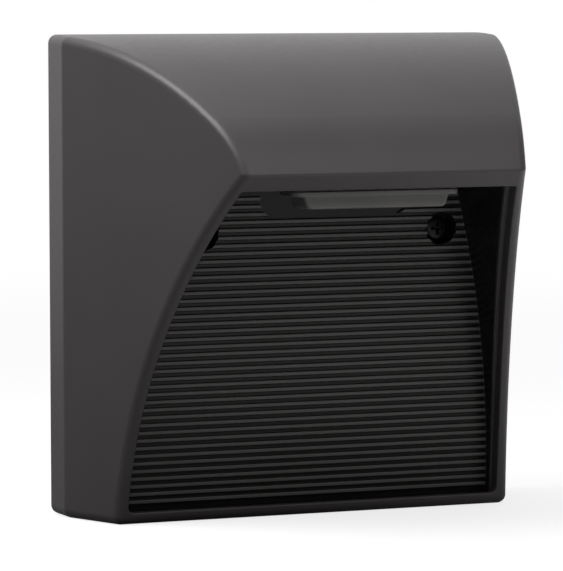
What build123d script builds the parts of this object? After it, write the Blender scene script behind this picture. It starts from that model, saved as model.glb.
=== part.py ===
from build123d import *
import os
from math import cos, radians, sin, sqrt, tan

# Step light for a wall: a die-cast hooded housing with a black ribbed recess and a lens that
# shines down behind the lip. Millimetres and degrees. X runs to the right, the front faces -Y,
# Z is up, and the origin is the centre of the back face, on the wall.

# Housing outline
width = 150.0
height = 150.0
band_depth = 12.4
side_taper = 20.4
hood_start_slope = 0.0
hood_back_radius = 130.6
hood_turn_slope = 35.7
hood_front_radius = 44.4
hood_end_slope = 64.0
bottom_depth = 35.5
front_radius = 175.0
edge_round = 2.8
lip_round = 0.6
wall = 3.0

# Rim of the recess, seen from the front
lip_band = 4.9
side_rim_top = 2.8
side_rim_bottom = 3.45
bottom_rim = 3.6
opening_top_corner = 0.8
opening_bottom_corner = 2.0
opening_round = 0.4

# Recess and its ribs
floor_top_depth = 44.0
floor_bottom_depth = 28.5
floor_thickness = 2.5
tray_inset = 4.3
tray_wall = 2.2
tray_seal_thickness = 1.2
soffit_thickness = 2.0
rib_start = 2.88
rib_pitch = 2.4
rib_height = 0.9
rib_base = 1.4
rib_crest = 1.0
rib_round = 0.2
field_left = -22.0
field_right = 28.5
field_drop = 9.9
field_corner = 5.0

# Clearances
moving_gap = 0.4
seat_gap = 0.2
screw_clearance = 0.25
thread_gap = 0.05
running_gap = 0.1

# Cover screws, left and right in the recess
cover_screw_inset = 34.7
cover_screw_drop = 15.0
cover_screw_r = 2.0
cover_head_r = 3.9
cover_head_h = 2.8
cover_screw_length = 22.0
counterbore_r = 5.1
counterbore_depth = 6.0
sleeve_web = 3.0
sleeve_r = 7.0
sleeve_setback = 1.2
washer_thickness = 1.0
washer_gap = 0.1
cross_slot_width = 1.0
cross_slot_depth = 1.5

# Wall base
base_thickness = 3.0
skirt_depth = 9.0
skirt_wall = 3.0
mouth_margin = 1.0
seal_depth = 4.0
base_seal_width = 2.5
base_seal_inset = 1.5
seal_stand = 0.1
base_corner = 1.0
pillar_r = 6.0
insert_r = 3.0
insert_length = 8.0
gusset_reach = 4.0
gusset_height = 12.0
gusset_thickness = 1.6
slot_spacing = 100.0
slot_width = 5.0
slot_length = 12.0
entry_drop = 29.0
entry_r = 10.0
grommet_bore_r = 4.5
grommet_lip = 2.0
grommet_back = 1.0
gasket_thickness = 1.5
gasket_width = 6.0
gasket_margin = 5.0

# Lens, board and lamp shelf
lens_x = 1.4
lens_front_depth = 79.5
lens_body_depth = 12.5
lens_body_length = 48.3
lens_body_drop = 3.8
lens_end_draft = 20.0
lens_flange_margin = 3.6
lens_flange_edge = 1.2
lens_flange_thickness = 1.6
lens_flange_corner = 4.5
lens_hollow_depth = 6.0
lens_wall = 1.5
lens_gasket_thickness = 0.6
slot_long = 44.0
slot_deep = 8.6
hook_length = 8.0
hook_x = 15.0
hook_reach = 1.0
hook_thickness = 1.2
board_length = 66.0
board_depth = 12.0
board_thickness = 1.6
board_lift = 2.1
led_count = 12
led_pitch = 3.4
led_size = 2.8
led_height = 0.7
pad_thickness = 0.5
shelf_thickness = 3.0
shelf_web = 3.0
board_screw_spacing = 51.0
board_screw_r = 1.25
board_screw_length = 8.0
board_boss_r = 3.0
board_head_r = 2.3
board_head_h = 1.4

# Tray fixing
ear_inset = 36.0
ear_rise = 7.8
ear_depth = 60.0
ear_thickness = 2.5
ear_half_width = 5.0
ear_gusset = 7.0
ear_gusset_wall = 1.5
tray_screw_r = 1.5
tray_head_r = 2.9
tray_head_h = 2.2
tray_screw_length = 12.0
boss_r = 4.0
catch_length = 80.0
catch_height = 5.0
catch_thickness = 2.0

# Driver behind the recess floor
driver_length = 76.0
driver_height = 38.0
driver_depth = 17.0
driver_drop = 44.0
driver_front_depth = 27.0
driver_wall = 1.5
driver_lid_thickness = 1.6
driver_ear = 7.0
driver_ear_thickness = 2.0
driver_board_thickness = 1.6
transformer_size = 16.0
transformer_height = 8.0
capacitor_r = 4.0
capacitor_length = 9.0
driver_post_r = 3.5
post_setback = 1.0
lead_entry_share = 0.66
transformer_drop_share = 0.75
driver_screw_r = 1.5
driver_screw_length = 8.0
driver_inlet_x = 14.0
driver_inlet_pitch = 6.0
driver_outlet_x = 24.0

# Terminal block and earth
block_length = 30.0
block_height = 17.0
block_depth = 13.0
block_drop = 9.0
block_pole_pitch = 9.5
block_screw_r = 1.6
block_bore_r = 1.4
block_insert_r = 2.6
block_post_length = 3.0
block_post_half = 8.0
block_post_r = 3.5
block_post_setback = 1.5
block_fixing_x = 4.75
block_fixing_r = 1.2
block_fixing_head_r = 2.0
block_fixing_head_h = 2.0
block_fixing_length = 13.0
earth_inset = 36.0
earth_drop = 17.0
earth_boss_depth = 36.0
earth_boss_r = 4.5
earth_screw_r = 2.0
earth_head_r = 3.6
earth_head_h = 2.6
earth_screw_length = 9.0
ring_r = 4.2
ring_thickness = 0.8
ring_barrel_length = 8.0
ring_crimp_share = 0.75
ring_neck_share = 0.8
mains_lead_r = 1.1
mains_lead_drop = 2.5
led_lead_r = 0.8
led_lead_pitch = 2.4
led_pad_x = (29.2, 31.6)
led_lead_climb = 17.0
led_lead_sway = (0.0, 1.0, 3.0)
led_lead_forward = (2.0, 14.0)
led_lead_run = 9.0
led_lead_rise = 8.0
led_lead_turn = 13.0
led_lead_landing = 3.0
lead_stub = 2.5
earth_lead_rise = 8.0
earth_lead_sway = 4.0
earth_lead_straight = 5.0
earth_lead_tail = 2.0
clip_depth = 59.0
clip_width = 4.0
clip_wall = 0.8


# Side profile and plan of the housing, worked out from the outline sizes
def slope_point(start, radius, slope_from, slope_to):
    turn_from = radians(slope_from)
    turn_to = radians(slope_to)
    depth = start[0] + radius * (sin(turn_to) - sin(turn_from))
    return (depth, start[1] - radius * (cos(turn_from) - cos(turn_to)))


top_z = height / 2
bottom_z = -height / 2
hood_start = (0, top_z)
hood_back_slope = (hood_start_slope + hood_turn_slope) / 2
hood_front_slope = (hood_turn_slope + hood_end_slope) / 2
hood_back = slope_point(hood_start, hood_back_radius, hood_start_slope, hood_back_slope)
hood_turn = slope_point(hood_start, hood_back_radius, hood_start_slope, hood_turn_slope)
hood_front = slope_point(hood_turn, hood_front_radius, hood_turn_slope, hood_front_slope)
lip = slope_point(hood_turn, hood_front_radius, hood_turn_slope, hood_end_slope)
lip_depth, lip_z = lip
bottom_front = (bottom_depth, bottom_z)

chord_depth = lip_depth - bottom_depth
chord_z = lip_z - bottom_z
chord = sqrt(chord_depth**2 + chord_z**2)
chord_rise = sqrt(front_radius**2 - (chord / 2) ** 2)
front_centre_depth = (lip_depth + bottom_depth) / 2 + chord_z / chord * chord_rise
front_centre_z = (lip_z + bottom_z) / 2 - chord_depth / chord * chord_rise
clear_depth = lip_depth + 20


def front_depth(z, inset=0.0):
    reach = front_radius + inset
    return front_centre_depth - sqrt(reach**2 - (z - front_centre_z) ** 2)


def half_width(depth):
    return width / 2 - tan(radians(side_taper)) * (depth - band_depth)


def side_point(depth, z):
    return (-depth, z)


def across(face, half_length):
    return extrude(Plane.YZ * face, half_length, both=True)


def forward(face, depth_from, depth_to):
    return extrude(Plane.XZ.offset(depth_from) * face, depth_to - depth_from)


def rod(x, z, radius, depth_from, depth_to):
    middle = -(depth_from + depth_to) / 2
    return Pos(x, middle, z) * Rot(90, 0, 0) * Cylinder(radius, depth_to - depth_from)


def block(x_from, x_to, depth_from, depth_to, z_from, z_to):
    size = (x_to - x_from, depth_to - depth_from, z_to - z_from)
    centre = Pos((x_from + x_to) / 2, -(depth_from + depth_to) / 2, (z_from + z_to) / 2)
    return centre * Box(*size)


def cross_screw(head_r, head_h, shank_r, length):
    head = Pos(0, 0, head_h / 2) * Cylinder(head_r, head_h)
    rim = head.edges().filter_by(GeomType.CIRCLE).sort_by(Axis.Z)[-1]
    head = fillet(rim, head_h * 0.4)
    shank = Pos(0, 0, -length / 2) * Cylinder(shank_r, length)
    slot = Box(head_r * 1.2, cross_slot_width, 2 * cross_slot_depth)
    recess = Pos(0, 0, head_h) * (slot + Rot(0, 0, 90) * slot)
    return head + shank - recess


def facing_front(x, depth, z, piece):
    return Pos(x, -depth, z) * Rot(90, 0, 0) * piece


def facing_wall(x, depth, z, piece):
    return Pos(x, -depth, z) * Rot(-90, 0, 0) * piece


def facing_down(x, depth, z, piece):
    return Pos(x, -depth, z) * Rot(180, 0, 0) * piece


def save(name, piece):
    piece.label = name
    export_step(piece, "parts/" + name + ".step")


os.makedirs("parts", exist_ok=True)


# Front housing: outer form
profile = make_face(
    [
        ThreePointArc(side_point(*hood_start), side_point(*hood_back), side_point(*hood_turn)),
        ThreePointArc(side_point(*hood_turn), side_point(*hood_front), side_point(*lip)),
        ThreePointArc(
            side_point(*lip),
            side_point(front_depth((lip_z + bottom_z) / 2), (lip_z + bottom_z) / 2),
            side_point(*bottom_front),
        ),
        Line(side_point(*bottom_front), side_point(0, bottom_z)),
        Line(side_point(0, bottom_z), side_point(0, top_z)),
    ]
)
plan = make_face(
    Polyline(
        (-width / 2, 0),
        (-width / 2, -band_depth),
        (-half_width(clear_depth), -clear_depth),
        (half_width(clear_depth), -clear_depth),
        (width / 2, -band_depth),
        (width / 2, 0),
        close=True,
    )
)


def housing_form(profile_face, plan_face):
    return across(profile_face, width) & Pos(0, 0, -height) * extrude(plan_face, 2 * height)


def is_outer_edge(edge):
    box = edge.bounding_box()
    on_wall = box.max.Y > -0.01 and box.min.Y > -0.01
    along_x = abs(edge.tangent_at(0.5).X) > 0.99
    at_bottom = abs(edge.center().Z - bottom_z) < 0.01
    return not on_wall and (at_bottom or not along_x)


def is_lip_edge(edge):
    at_lip = abs(edge.center().Y + lip_depth) < 0.5
    return at_lip and abs(edge.tangent_at(0.5).X) > 0.99 and edge.length > lip_z


sharp_form = housing_form(profile, plan)
outer = sharp_form.fillet(edge_round, [e for e in sharp_form.edges() if is_outer_edge(e)])
outer = outer.fillet(lip_round, [e for e in outer.edges() if is_lip_edge(e)])

# Front housing: cavity, open to the wall
cavity_profile = offset(profile, -wall, kind=Kind.INTERSECTION)
cavity_plan = offset(plan, -wall, kind=Kind.INTERSECTION)
mouth_depth = skirt_depth + mouth_margin
cavity_mouth = block(
    -width / 2 + wall, width / 2 - wall, -1, mouth_depth, bottom_z + wall, top_z - wall
)
cavity = housing_form(cavity_profile, cavity_plan) + cavity_mouth

# Recess outline seen from the front: the rim follows the tapering cheeks and grows to its foot
opening_top = lip_z - lip_band
opening_bottom = bottom_z + bottom_rim


def opening_side(z):
    share = (z - opening_bottom) / (opening_top - opening_bottom)
    rim = side_rim_bottom + (side_rim_top - side_rim_bottom) * share
    return half_width(front_depth(z)) - rim


def tray_side(z):
    return half_width(front_depth(z)) - tray_inset


def recess_face(side_at, z_from, z_to, outset=0.0):
    z_middle = (z_from + z_to) / 2
    foot = side_at(z_from) + outset
    middle = side_at(z_middle) + outset
    head = side_at(z_to) + outset
    return make_face(
        [
            Line((-foot, z_from), (foot, z_from)),
            ThreePointArc((foot, z_from), (middle, z_middle), (head, z_to)),
            Line((head, z_to), (-head, z_to)),
            ThreePointArc((-head, z_to), (-middle, z_middle), (-foot, z_from)),
        ]
    )


opening = recess_face(opening_side, opening_bottom, opening_top)
opening = fillet(opening.vertices().sort_by(Axis.Y)[:2], opening_bottom_corner)
opening = fillet(opening.vertices().sort_by(Axis.Y)[-2:], opening_top_corner)
opening_cut = forward(opening, band_depth + wall, clear_depth)

# Recess floor, which leans back toward its foot
floor_slope = (floor_top_depth - floor_bottom_depth) / (opening_top - opening_bottom)


def floor_depth(z):
    return floor_bottom_depth + floor_slope * (z - opening_bottom)


# Heights of the lens and board stack, from the soffit of the recess
soffit_top = opening_top + soffit_thickness
flange_top = opening_top - lens_gasket_thickness
flange_bottom = flange_top - lens_flange_thickness
lens_bottom = flange_bottom - lens_body_drop
board_bottom = soffit_top + board_lift
board_top = board_bottom + board_thickness
shelf_bottom = board_top + pad_thickness
shelf_top = shelf_bottom + shelf_thickness
lens_depth = lens_front_depth - lens_body_depth / 2
shelf_back = lens_depth - board_depth / 2 - 0.5
shelf_half = board_length / 2 + 1

# Places of the cover screws, the driver and the terminals
cover_screw_x = width / 2 - cover_screw_inset
cover_screw_z = opening_top - cover_screw_drop
ear_x = width / 2 - ear_inset
ear_z = soffit_top + ear_rise
block_z = opening_top - block_drop
driver_z = block_z - driver_drop
earth_x = width / 2 - earth_inset
earth_z = top_z - earth_drop
entry_z = top_z - entry_drop

# Depths of the cover screws
counterbore_bottom = floor_depth(cover_screw_z) - counterbore_depth
sleeve_end = counterbore_bottom - sleeve_web
pillar_end = sleeve_end - moving_gap
cover_seat = counterbore_bottom + washer_thickness
cover_screw_tip = cover_seat - cover_screw_length
cover_sides = (-cover_screw_x, cover_screw_x)

# Front housing: lamp shelf with webs, bosses and the catch behind the tray's foot
shelf = block(-shelf_half, shelf_half, shelf_back, clear_depth, shelf_bottom, shelf_top)
features = shelf
for web_x in (-shelf_half + shelf_web / 2, 0, shelf_half - shelf_web / 2):
    web_side = shelf_web / 2
    features += block(
        web_x - web_side, web_x + web_side, shelf_back, clear_depth, shelf_bottom, top_z
    )
for side in (-1, 1):
    features += rod(side * ear_x, ear_z, boss_r, ear_depth + ear_thickness, clear_depth)
    features += Pos(side * board_screw_spacing / 2, -lens_depth, shelf_top + 1) * Cylinder(
        board_boss_r, 2 * shelf_thickness
    )
features += rod(earth_x, earth_z, earth_boss_r, earth_boss_depth, clear_depth)
catch_depth = floor_depth(bottom_z + wall) - floor_thickness - seat_gap
features += block(
    -catch_length / 2,
    catch_length / 2,
    catch_depth - catch_thickness,
    catch_depth,
    bottom_z + wall / 2,
    bottom_z + wall + catch_height,
)



def is_opening_edge(edge):
    middle = edge.position_at(0.5)
    inside = abs(middle.X) < opening_side(middle.Z) + 0.1 and middle.Z < opening_top + 0.1
    on_front = abs(-middle.Y - front_depth(middle.Z)) < 0.02
    return inside and on_front and middle.Z > bottom_z + 0.1


rimmed = outer - opening_cut
opening_edges = [e for e in rimmed.edges() if is_opening_edge(e)]
rimmed = rimmed.fillet(opening_round, opening_edges)
housing = rimmed - cavity + (features & outer) - opening_cut
tray_screw_tip = ear_depth + tray_screw_length
for side in (-1, 1):
    housing -= rod(
        side * ear_x, ear_z, tray_screw_r + thread_gap, band_depth, tray_screw_tip + screw_clearance
    )
    housing -= Pos(side * board_screw_spacing / 2, -lens_depth, board_bottom) * Cylinder(
        board_screw_r + thread_gap, 2 * (board_screw_length + screw_clearance)
    )
housing -= rod(
    earth_x,
    earth_z,
    earth_screw_r + thread_gap,
    band_depth,
    earth_boss_depth + earth_screw_length,
)
save("front_housing", housing)


# Ribbed tray: soffit, side walls and sloping floor in one black moulding
tray_bottom = bottom_z + wall + seat_gap
seal_inset = wall + tray_seal_thickness
tray_middle = (tray_bottom + soffit_top) / 2


def tray_side_face(inset):
    back_low = floor_depth(tray_bottom) - floor_thickness
    back_high = floor_depth(soffit_top) - floor_thickness
    return make_face(
        [
            Line(side_point(back_low, tray_bottom), side_point(back_high, soffit_top)),
            Line(
                side_point(back_high, soffit_top),
                side_point(front_depth(soffit_top, inset), soffit_top),
            ),
            ThreePointArc(
                side_point(front_depth(soffit_top, inset), soffit_top),
                side_point(front_depth(tray_middle, inset), tray_middle),
                side_point(front_depth(tray_bottom, inset), tray_bottom),
            ),
            Line(
                side_point(front_depth(tray_bottom, inset), tray_bottom),
                side_point(back_low, tray_bottom),
            ),
        ]
    )


tray_face = recess_face(tray_side, tray_bottom, soffit_top, tray_wall)
tray_outline = forward(tray_face, 0, clear_depth)
pocket_side = make_face(
    Polyline(
        side_point(floor_depth(bottom_z), bottom_z),
        side_point(floor_depth(opening_top), opening_top),
        side_point(clear_depth, opening_top),
        side_point(clear_depth, bottom_z),
        close=True,
    )
)
pocket_face = recess_face(tray_side, bottom_z, opening_top)
pocket = across(pocket_side, width) & forward(pocket_face, 0, clear_depth)
tray = (across(tray_side_face(seal_inset), width) & tray_outline) - pocket

# Ribs of the floor, each a low trapezoid that runs from wall to wall
rib_count = int((opening_top - tray_bottom - rib_start) / rib_pitch)
comb = [side_point(floor_depth(tray_bottom) - floor_thickness / 2, tray_bottom)]
for i in range(rib_count):
    rib_z = tray_bottom + rib_start + rib_pitch * i
    for rise, half in ((0, -rib_base / 2), (1, -rib_crest / 2), (1, rib_crest / 2), (0, rib_base / 2)):
        comb.append(side_point(floor_depth(rib_z + half) + rise * rib_height, rib_z + half))
comb_top = rib_z + rib_pitch / 2
comb.append(side_point(floor_depth(comb_top) - floor_thickness / 2, comb_top))
comb_face = make_face(Polyline(*comb, close=True))


def is_crest(vertex):
    return -vertex.X - floor_depth(vertex.Y) > rib_height / 2


comb_face = fillet([v for v in comb_face.vertices() if is_crest(v)], rib_round)
ribs = across(comb_face, width) & tray_outline

# Smooth field in the ribs, behind the lens
field_length = field_right - field_left
field_face = Pos((field_left + field_right) / 2, opening_top) * RectangleRounded(
    field_length, 2 * field_drop, field_corner
)
tray += ribs - (across(pocket_side, width) & forward(field_face, 0, clear_depth))

# Screw sleeves, driver posts and terminal pad on the tray
driver_post_x = driver_length / 2 + driver_ear / 2
block_front = floor_depth(block_z) - floor_thickness - block_post_length
sleeve_front = floor_depth(cover_screw_z) - sleeve_setback
post_front = floor_depth(driver_z) - post_setback
for x in cover_sides:
    tray += rod(x, cover_screw_z, sleeve_r, sleeve_end, sleeve_front)
    tray -= rod(x, cover_screw_z, counterbore_r, counterbore_bottom, clear_depth)
    tray -= rod(x, cover_screw_z, cover_screw_r + screw_clearance, 0, clear_depth)
for x in (-driver_post_x, driver_post_x):
    tray += rod(x, driver_z, driver_post_r, driver_front_depth, post_front)
    tray -= rod(
        x,
        driver_z,
        driver_screw_r + thread_gap,
        driver_front_depth,
        driver_front_depth - driver_ear_thickness + driver_screw_length + screw_clearance,
    )
tray += block(
    -block_post_half,
    block_post_half,
    block_front,
    floor_depth(block_z) - block_post_setback,
    block_z - block_post_r,
    block_z + block_post_r,
)
block_back = block_front - block_depth
block_fixing_tip = block_back + block_fixing_head_h + block_fixing_length
for x in (-block_fixing_x, block_fixing_x):
    tray -= rod(x, block_z, block_fixing_r + thread_gap, block_back, block_fixing_tip + seat_gap)

# Lens slot and the two ears that take the tray screws
tray -= block(
    lens_x - slot_long / 2,
    lens_x + slot_long / 2,
    lens_depth - slot_deep / 2,
    lens_depth + slot_deep / 2,
    opening_top - 1,
    soffit_top + 1,
)
ear_top = ear_z + ear_half_width
for side in (-1, 1):
    x = side * ear_x
    tray += block(
        x - ear_half_width, x + ear_half_width, ear_depth, ear_depth + ear_thickness, soffit_top - 1, ear_top
    )
    for edge in (x - ear_half_width, x + ear_half_width - ear_gusset_wall):
        tray += block(
            edge, edge + ear_gusset_wall, ear_depth - ear_gusset, ear_depth + 1, soffit_top - 1, ear_z - 1
        )
    tray -= rod(x, ear_z, tray_screw_r + screw_clearance, ear_depth - 1, ear_depth + ear_thickness + 1)
save("ribbed_tray", tray)


# Tray seal: silicone strip between the tray's front edges and the back of the rim
seal_band = across(tray_side_face(wall + seat_gap), width) - across(tray_side_face(seal_inset), width)
tray_seal = (seal_band & tray_outline) - pocket
save("tray_seal", tray_seal)

# Tray screws
tray_screw = cross_screw(tray_head_r, tray_head_h, tray_screw_r, tray_screw_length)
save(
    "tray_screws",
    Compound([facing_wall(side * ear_x, ear_depth, ear_z, tray_screw) for side in (-1, 1)]),
)


# Lens: flange, tapered body with a hollow for the light, and snap hooks through the soffit
lens_back_depth = lens_front_depth - lens_body_depth
lens_half = lens_body_length / 2
flange_half = lens_half + lens_flange_margin
lens_end_run = lens_body_drop * tan(radians(lens_end_draft))
lens_end_face = make_face(
    Polyline(
        (lens_x - lens_half, flange_bottom),
        (lens_x - lens_half + lens_end_run, lens_bottom),
        (lens_x + lens_half - lens_end_run, lens_bottom),
        (lens_x + lens_half, flange_bottom),
        close=True,
    )
)
lens_end_face = fillet(lens_end_face.vertices().sort_by(Axis.Y)[:2], lens_wall)
lens = forward(lens_end_face, lens_back_depth, lens_front_depth)
flange = block(
    lens_x - flange_half,
    lens_x + flange_half,
    lens_back_depth - lens_flange_edge,
    lens_front_depth + lens_flange_edge,
    flange_bottom,
    flange_top,
)
lens += fillet(flange.edges().filter_by(Axis.Z), lens_flange_corner)
lens -= block(
    lens_x - slot_long / 2 + lens_wall,
    lens_x + slot_long / 2 - lens_wall,
    lens_depth - lens_hollow_depth / 2,
    lens_depth + lens_hollow_depth / 2,
    lens_bottom + lens_wall,
    flange_top + 1,
)
hook_top = soffit_top + seat_gap + hook_thickness * 0.7
for x in (lens_x - hook_x, lens_x + hook_x):
    for side in (-1, 1):
        outside = lens_depth + side * (slot_deep / 2 - seat_gap / 2)
        inside = outside - side * hook_thickness
        nose = outside + side * hook_reach
        lens += block(
            x - hook_length / 2,
            x + hook_length / 2,
            min(outside, inside),
            max(outside, inside),
            flange_top - 1,
            hook_top,
        )
        lens += block(
            x - hook_length / 2,
            x + hook_length / 2,
            min(inside, nose),
            max(inside, nose),
            soffit_top + seat_gap / 2,
            hook_top,
        )
save("lens", lens)

# Lens gasket
lens_gasket = block(
    lens_x - flange_half + lens_flange_edge,
    lens_x + flange_half - lens_flange_edge,
    lens_back_depth,
    lens_front_depth - lens_flange_edge,
    flange_top,
    opening_top,
)
lens_gasket -= block(
    lens_x - slot_long / 2 - seat_gap,
    lens_x + slot_long / 2 + seat_gap,
    lens_depth - slot_deep / 2 - seat_gap,
    lens_depth + slot_deep / 2 + seat_gap,
    flange_top - 1,
    opening_top + 1,
)
save("lens_gasket", lens_gasket)


# Light source: board, diodes, thermal pad and screws under the lamp shelf
def board_slab(z_from, z_to):
    slab = block(
        -board_length / 2,
        board_length / 2,
        lens_depth - board_depth / 2,
        lens_depth + board_depth / 2,
        z_from,
        z_to,
    )
    for side in (-1, 1):
        slab -= Pos(side * board_screw_spacing / 2, -lens_depth, z_from) * Cylinder(
            board_screw_r + screw_clearance, 4 * board_thickness
        )
    return slab


save("led_board", board_slab(board_bottom, board_top))
save("thermal_pad", board_slab(board_top, shelf_bottom))
leds = []
for i in range(led_count):
    led_x = lens_x + led_pitch * (i - (led_count - 1) / 2)
    leds.append(
        block(
            led_x - led_size / 2,
            led_x + led_size / 2,
            lens_depth - led_size / 2,
            lens_depth + led_size / 2,
            board_bottom - led_height,
            board_bottom,
        )
    )
save("leds", Compound(leds))
board_screw = cross_screw(board_head_r, board_head_h, board_screw_r, board_screw_length)
save(
    "led_board_screws",
    Compound(
        [
            facing_down(side * board_screw_spacing / 2, lens_depth, board_bottom, board_screw)
            for side in (-1, 1)
        ]
    ),
)


# Driver: open case with ears, lid, circuit board, transformer and capacitors
driver_back_depth = driver_front_depth - driver_depth
driver_half = driver_length / 2
driver_low = driver_z - driver_height / 2
driver_high = driver_z + driver_height / 2
case = block(-driver_half, driver_half, driver_back_depth, driver_front_depth, driver_low, driver_high)
case -= block(
    -driver_half + driver_wall,
    driver_half - driver_wall,
    driver_back_depth - 1,
    driver_front_depth - driver_wall,
    driver_low + driver_wall,
    driver_high - driver_wall,
)
ear_from = driver_front_depth - driver_ear_thickness
for side in (-1, 1):
    x = side * driver_post_x
    case += block(
        x - driver_ear / 2,
        x + driver_ear / 2,
        ear_from,
        driver_front_depth,
        driver_z - driver_ear,
        driver_z + driver_ear,
    )
    case -= rod(x, driver_z, driver_screw_r + screw_clearance, ear_from - 1, driver_front_depth + 1)

mains_lead_x = (-driver_inlet_x, -driver_inlet_x + driver_inlet_pitch)
led_lead_x = (driver_outlet_x, driver_outlet_x + led_lead_pitch)
lead_entry_depth = driver_front_depth - driver_wall - capacitor_length * lead_entry_share
for x, lead_r in zip(mains_lead_x + led_lead_x, (mains_lead_r, mains_lead_r, led_lead_r, led_lead_r)):
    case -= Pos(x, -lead_entry_depth, driver_high) * Cylinder(lead_r + seat_gap, 4 * driver_wall)
save("driver_case", case)

driver_lid = block(
    -driver_half,
    driver_half,
    driver_back_depth - driver_lid_thickness,
    driver_back_depth,
    driver_low,
    driver_high,
)
driver_lid += block(
    -driver_half + driver_wall + seat_gap,
    driver_half - driver_wall - seat_gap,
    driver_back_depth,
    driver_back_depth + driver_wall,
    driver_low + driver_wall + seat_gap,
    driver_high - driver_wall - seat_gap,
)
save("driver_lid", driver_lid)

driver_board_back = driver_back_depth + driver_wall + seat_gap
driver_board_front = driver_board_back + driver_board_thickness
driver_board = block(
    -driver_half + driver_wall + moving_gap,
    driver_half - driver_wall - moving_gap,
    driver_board_back,
    driver_board_front,
    driver_low + driver_wall + moving_gap,
    driver_high - driver_wall - moving_gap,
)
save("driver_board", driver_board)
transformer = block(
    -transformer_size / 2,
    transformer_size / 2,
    driver_board_front,
    driver_board_front + transformer_height,
    driver_z - transformer_size * transformer_drop_share,
    driver_z + transformer_size * (1 - transformer_drop_share),
)
save("driver_transformer", transformer)
capacitor_end = driver_board_front + capacitor_length
capacitors = [
    rod(side * driver_half / 2, driver_z, capacitor_r, driver_board_front, capacitor_end)
    for side in (-1, 1)
]
save("driver_capacitors", Compound(capacitors))
driver_screw = cross_screw(tray_head_r, tray_head_h, driver_screw_r, driver_screw_length)
save(
    "driver_screws",
    Compound([facing_wall(side * driver_post_x, ear_from, driver_z, driver_screw) for side in (-1, 1)]),
)


# Terminal block with a brass insert and two clamping screws in each of its three poles
pole_x = (-block_pole_pitch, 0, block_pole_pitch)
pole_depth = block_front - block_insert_r - driver_wall
clamp_z = (block_z - block_height / 4, block_z + block_height / 4)
terminal_block = block(
    -block_length / 2,
    block_length / 2,
    block_back,
    block_front,
    block_z - block_height / 2,
    block_z + block_height / 2,
)
inserts = []
clamps = []
for x in pole_x:
    bore = Pos(x, -pole_depth, block_z) * Cylinder(block_insert_r + thread_gap, 2 * block_height)
    terminal_block -= bore
    insert = Pos(x, -pole_depth, block_z) * Cylinder(block_insert_r, block_height - 2 * seat_gap)
    insert -= Pos(x, -pole_depth, block_z) * Cylinder(block_bore_r, 2 * block_height)
    for z in clamp_z:
        terminal_block -= rod(x, z, block_screw_r + seat_gap, block_back - 1, pole_depth)
        insert -= rod(x, z, block_screw_r + thread_gap, block_back - 1, pole_depth)
        clamps.append(rod(x, z, block_screw_r, block_back + seat_gap, pole_depth - mains_lead_r - seat_gap))
    inserts.append(insert)
for x in (-block_fixing_x, block_fixing_x):
    terminal_block -= rod(x, block_z, block_fixing_r + screw_clearance, block_back - 1, block_front + 1)
    terminal_block -= rod(
        x, block_z, block_fixing_head_r + seat_gap, block_back - 1, block_back + block_fixing_head_h
    )
save("terminal_block", terminal_block)
save("terminal_inserts", Compound(inserts))
save("terminal_screws", Compound(clamps))
block_screw = cross_screw(
    block_fixing_head_r, block_fixing_head_h - seat_gap, block_fixing_r, block_fixing_length
)
save(
    "terminal_block_screws",
    Compound(
        [
            facing_wall(x, block_back + block_fixing_head_h, block_z, block_screw)
            for x in (-block_fixing_x, block_fixing_x)
        ]
    ),
)


# Earth terminal on the housing
barrel_r = mains_lead_r + ring_thickness * ring_crimp_share
barrel_depth = earth_boss_depth - barrel_r
barrel_end = earth_x - earth_boss_r
ring_back = earth_boss_depth - ring_thickness
ring = rod(earth_x, earth_z, ring_r, ring_back, earth_boss_depth)
neck_half = barrel_r * ring_neck_share
ring += block(
    barrel_end - 1, earth_x, ring_back, earth_boss_depth, earth_z - neck_half, earth_z + neck_half
)
barrel_middle = barrel_end - ring_barrel_length / 2
ring += Pos(barrel_middle, -barrel_depth, earth_z) * Rot(0, 90, 0) * Cylinder(barrel_r, ring_barrel_length)
ring -= Pos(barrel_middle - 1, -barrel_depth, earth_z) * Rot(0, 90, 0) * Cylinder(
    mains_lead_r + thread_gap, ring_barrel_length
)
ring -= rod(earth_x, earth_z, earth_screw_r + screw_clearance, 0, clear_depth)
save("earth_ring_terminal", ring)
earth_screw = cross_screw(earth_head_r, earth_head_h, earth_screw_r, earth_screw_length)
save("earth_screw", facing_wall(earth_x, ring_back, earth_z, earth_screw))


# Leads: straight runs joined by arcs as large as the shorter run allows
def lead(points, radius):
    corners = [Vector(x, -depth, z) for x, depth, z in points]
    radii = []
    for before, corner, after in zip(corners, corners[1:], corners[2:]):
        into = corner - before
        out = after - corner
        turn = radians(into.get_angle(out))
        radii.append(0.45 * min(into.length, out.length) / tan(turn / 2))
    path = FilletPolyline(*corners, radius=radii)
    return sweep(Plane(origin=path @ 0, z_dir=path % 0) * Circle(radius), path)


lead_start_z = block_z - block_height / 6
lead_end_z = driver_high - lead_stub * driver_wall
lead_turn_z = (block_z - block_height / 2 + driver_high) / 2
mains_names = ("live_lead", "neutral_lead")
for name, x, entry_x in zip(mains_names, pole_x, mains_lead_x):
    route = [
        (x, pole_depth, lead_start_z),
        (x, pole_depth, lead_turn_z + mains_lead_drop),
        (entry_x, lead_entry_depth, lead_turn_z - mains_lead_drop),
        (entry_x, lead_entry_depth, lead_end_z),
    ]
    save(name, lead(route, mains_lead_r))

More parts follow.
